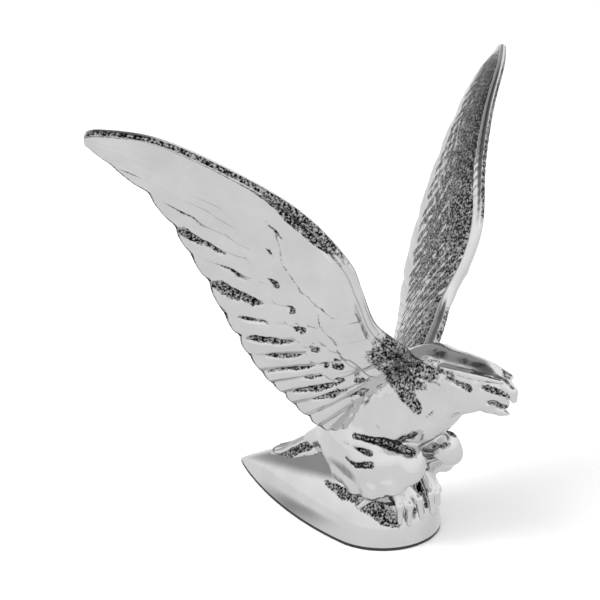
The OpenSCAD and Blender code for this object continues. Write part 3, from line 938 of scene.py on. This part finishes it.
def make_body():
    field = Field((-16, 0, 4), (104, 30, 98), STEP)
    for add in (torso, add_legs, add_feet, add_head, add_beak):
        add(field)
    return field.mesh()


def build_body():
    verts, faces = make_body()
    # Painted shade and dark reflections on the body and head, and in and around the grooves of the thigh; the
    # chrome is rougher there too
    mark = 0.66 * strokes(verts, BODY_SHADE_MARKS, 3.4)
    wide = [(a, b, 1.5 * ra, 1.5 * rb) for a, b, ra, rb in THIGH_LINES]
    mark = np.maximum(mark, 0.70 * strokes(verts, wide, 1.4))
    mark = np.maximum(mark, 0.66 * strokes(verts, HEAD_SHADE_MARKS, 1.0))
    obj = build("eagle_casting", verts, faces, CHROME_CAST, ROOT, "chrome", ["eagle_body"], painted_shade_and_rough=mark)
    smooth = obj.modifiers.new("smooth", "SMOOTH")
    smooth.factor = 0.4
    smooth.iterations = 2


build_body()


# ---------------------------------------------------------------- hardware
# 1/4-20 thread: pitch, outer radius, root radius and the bore of the nut, in mm
PITCH = 1.27
STUD_R = 3.175
ROOT_R = 2.42
BORE = 2.85
STUD_Z = (-32.0, 15.5)
# Bevels of the stud's tips and of the nut's bore
TIP_BEVEL = 0.9
BORE_BEVEL = 0.35
# Under the hood: top of the flat washer, thicknesses, and the nut just clear of the lock washer
FLAT_TOP = -6.0
WASHER_T = 1.6
NUT_TOP = FLAT_TOP - 2 * WASHER_T - 0.05
NUT_T = 5.56
NUT_APOTHEM = 5.555
# Radius of the nut's end faces, where the bevel begins, and the slope of the bevel
NUT_FACE = 5.45
BEVEL = 0.58
# Inner and outer radius of the flat and the lock washers, and how far their corners are rounded
FLAT_WASHER = (3.5, 9.25)
FLAT_EDGE = 0.22
LOCK_WASHER = (3.4, 6.2)
LOCK_EDGE = 0.18


def thread_profile(phase):
    """Radius of the thread for a place in its pitch."""
    w = 2.0 * np.abs(phase - np.floor(phase) - 0.5)
    return ROOT_R + (STUD_R - ROOT_R) * np.clip((w - 0.15) / 0.7, 0.0, 1.0)


def build_stud(name, x, node):
    """Stud threaded at both ends, plain where it passes the gasket, with bevelled tips."""
    per_pitch = 10
    z0, z1 = STUD_Z
    z = np.linspace(z0, z1, int((z1 - z0) / PITCH * per_pitch))
    a = full_turn(40)
    r = thread_profile(z[:, None] / PITCH - a[None, :] / (2 * np.pi))
    plain = window(z, -3.2, 0.4, 1.7, 0.4)
    r = r + (STUD_R - r) * plain[:, None]
    to_tip = np.minimum(z - z0, z1 - z)
    limit = STUD_R - TIP_BEVEL * np.clip(1.0 - to_tip / TIP_BEVEL, 0, 1)
    r = np.minimum(r, limit[:, None])
    rings = np.stack([x + r * np.cos(a), r * np.sin(a), z[:, None] + 0 * r], -1)
    build(name, *loft(rings), ZINC, ROOT, "zinc_steel", [node], sharp=35)


def build_nut(name, x, body, node):
    """Bevelled hex nut with a threaded bore."""
    low = NUT_TOP - NUT_T
    a = full_turn(96)
    near = np.mod(a + math.pi / 6, math.pi / 3) - math.pi / 6
    side = NUT_APOTHEM / np.cos(near)
    bevel = BEVEL * np.maximum(0.0, side - NUT_FACE)
    face = np.minimum(side, NUT_FACE)
    wide = BORE + BORE_BEVEL
    outline = [(BORE, low + BORE_BEVEL), (wide, low), (face - 0.1, low), (face, low + 0.02),
               (side, low + bevel + 0.12), (side, NUT_TOP - bevel - 0.12), (face, NUT_TOP - 0.02),
               (face - 0.1, NUT_TOP), (wide, NUT_TOP), (BORE, NUT_TOP - BORE_BEVEL)]
    rings = [circle(x, 0.0, r, z, a) for r, z in outline]
    for z in np.linspace(NUT_TOP - 0.36, low + 0.36, 40):
        r = BORE + 0.28 * (1 - 2 * np.abs(np.mod(z / PITCH - a / (2 * np.pi), 1.0) - 0.5))
        rings.append(circle(x, 0.0, r, z, a))
    build(name, *closed_band(rings), ZINC, body, "zinc_steel", [node], sharp=25)


def ring_outline(inner, outer, low, high, edge):
    """Radius and height around the section of a washer whose corners are rounded by edge."""
    turn = 0.3 * edge
    return [(inner + edge, low), (outer - edge, low), (outer - turn, low + turn), (outer, low + edge),
            (outer, high - edge), (outer - turn, high - turn), (outer - edge, high),
            (inner + edge, high), (inner, high - edge), (inner, low + edge)]


def build_flat_washer(name, x, body, node):
    outline = ring_outline(*FLAT_WASHER, FLAT_TOP - WASHER_T, FLAT_TOP, FLAT_EDGE)
    rings = [circle(x, 0.0, r, z, full_turn(96)) for r, z in outline]
    build(name, *closed_band(rings), ZINC, body, "zinc_steel", [node], sharp=35)


def build_lock_washer(name, x, body, node):
    """Split ring: its two ends stand a little apart."""
    outline = ring_outline(*LOCK_WASHER, FLAT_TOP - 2 * WASHER_T, FLAT_TOP - WASHER_T, LOCK_EDGE)
    turn = np.linspace(math.radians(6), math.radians(354), 110)
    rings = [[(x + r * math.cos(g), r * math.sin(g), z) for r, z in outline] for g in turn]
    build(name, *loft(rings), ZINC, body, "zinc_steel", [node], sharp=35)


for place, x in (("front", STUD_X), ("rear", -STUD_X)):
    build_stud("threaded_stud_" + place, x, "stud_" + place)
    build_nut("chamfered_nut_" + place, x, "nut_" + place, "hex_nut_" + place)
    build_flat_washer("round_washer_" + place, x, "washers_" + place, "flat_washer_" + place)
    build_lock_washer("split_washer_" + place, x, "washers_" + place, "lock_washer_" + place)

for node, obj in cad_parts.items():
    if node.startswith(("leg_", "wing_set", "wing_dowel", "tail_dowel")):
        obj.data.materials.clear()
        obj.data.materials.append(BLACK_OXIDE)


# ---------------------------------------------------------------- stage
def stage_plane(name, half, z, material, seen):
    """Square sheet that is seen and casts shadows, or else one that shows only in the plating."""
    mesh = bpy.data.meshes.new(name)
    corners = [(-half, -half, 0), (half, -half, 0), (half, half, 0), (-half, half, 0)]
    mesh.from_pydata(corners, [], [(0, 1, 2, 3)])
    obj = bpy.data.objects.new(name, mesh)
    obj.location = (0, 0, z)
    bpy.context.scene.collection.objects.link(obj)
    mesh.materials.append(material)
    obj.visible_glossy = not seen
    obj.visible_camera = obj.visible_diffuse = obj.visible_shadow = seen


def matt(name, value):
    material, tree, shader = new_material(name)
    feed(tree, shader, {"Base Color": (*grey(value), 1.0), "Roughness": 0.9, "Specular IOR Level": 0.1})
    return material


# Point that the lamps shine at, in the middle of the ornament
LAMPS_AT = Vector((0.0, 0.0, 0.09))


def area(name, location, size, energy):
    """Rectangular lamp that shines on the ornament and isn't itself reflected."""
    data = bpy.data.lights.new(name, "AREA")
    data.shape = "RECTANGLE"
    data.size, data.size_y = size
    data.energy = energy
    obj = bpy.data.objects.new(name, data)
    obj.location = location
    obj.rotation_euler = (LAMPS_AT - Vector(location)).to_track_quat("-Z", "Y").to_euler()
    obj.visible_glossy = False
    bpy.context.scene.collection.objects.link(obj)


def glowing_sheet():
    """Sheet that only the plating sees: it glows an even light grey like lit paper, with a painted shadow
    close beside the base.
    """
    material, tree, shader = new_material("glowing_sheet")
    coord = tree.nodes.new("ShaderNodeTexCoord")
    far = tree.nodes.new("ShaderNodeVectorMath")
    far.operation = "DISTANCE"
    feed(tree, far, {0: coord.outputs["Object"], 1: (-0.010, -0.028, 0.0)})
    # Painted shadow: darker within 36 mm of a point beside the base
    spot = map_range(tree, far.outputs["Value"], (0.0, 0.036), (0.08, 0.18), "SMOOTHSTEP")
    feed(tree, shader, {"Base Color": spot, "Roughness": 1.0, "Specular IOR Level": 0.0,
                        "Emission Color": spot, "Emission Strength": 3.3})
    return material


def dark_side(tree, coord, colour, towards, low, high, left):
    """World colour dimmed to a share of itself in one direction, with a soft border."""
    dot = tree.nodes.new("ShaderNodeVectorMath")
    dot.operation = "DOT_PRODUCT"
    feed(tree, dot, {0: coord.outputs["Generated"], 1: tuple(Vector(towards).normalized())})
    scale = tree.nodes.new("ShaderNodeVectorMath")
    scale.operation = "SCALE"
    fade = map_range(tree, dot.outputs["Value"], (low, high), (1.0, left), "SMOOTHSTEP")
    feed(tree, scale, {0: colour, "Scale": fade})
    return scale.outputs["Vector"]


def build_stage():
    scene = bpy.context.scene
    scene.view_settings.view_transform = "Standard"
    stage_plane("floor", 7, 0.0, matt("floor_paper", 1.0), True)
    stage_plane("floor_seen_in_chrome", 2.5, 0.0004, glowing_sheet(), False)
    world = bpy.data.worlds.new("studio")
    scene.world = world
    world.use_nodes = True
    tree = world.node_tree
    coord = tree.nodes.new("ShaderNodeTexCoord")
    split = tree.nodes.new("ShaderNodeSeparateXYZ")
    tree.links.new(coord.outputs["Generated"], split.inputs["Vector"])
    stops = ((0.15, 0.90), (0.35, 0.96), (0.65, 1.0), (0.78, 0.85), (0.88, 0.22))
    between = [(at, grey(value)) for at, value in stops]
    colour = ramp(tree, split.outputs["Z"], grey(0.88), grey(0.12), (0.0, 1.0), between)
    colour = dark_side(tree, coord, colour, (-0.70, 0.25, 0.65), 0.70, 0.86, 0.34)
    feed(tree, tree.nodes["Background"], {"Color": colour, "Strength": 1.06})
    sun = bpy.data.lights.new("sky_glow", "SUN")
    sun.energy = 0.9
    sun.angle = 1.2
    glow = bpy.data.objects.new("sky_glow", sun)
    glow.rotation_euler = (0.35, -0.25, 0.0)
    glow.visible_glossy = False
    scene.collection.objects.link(glow)
    area("key", (-0.5, -0.9, 1.3), (0.9, 0.9), 14.0)
    area("fill", (1.1, 0.3, 0.9), (0.8, 0.8), 5.0)


build_stage()

# ---------------------------------------------------------------- hand over
bpy.context.view_layer.update()
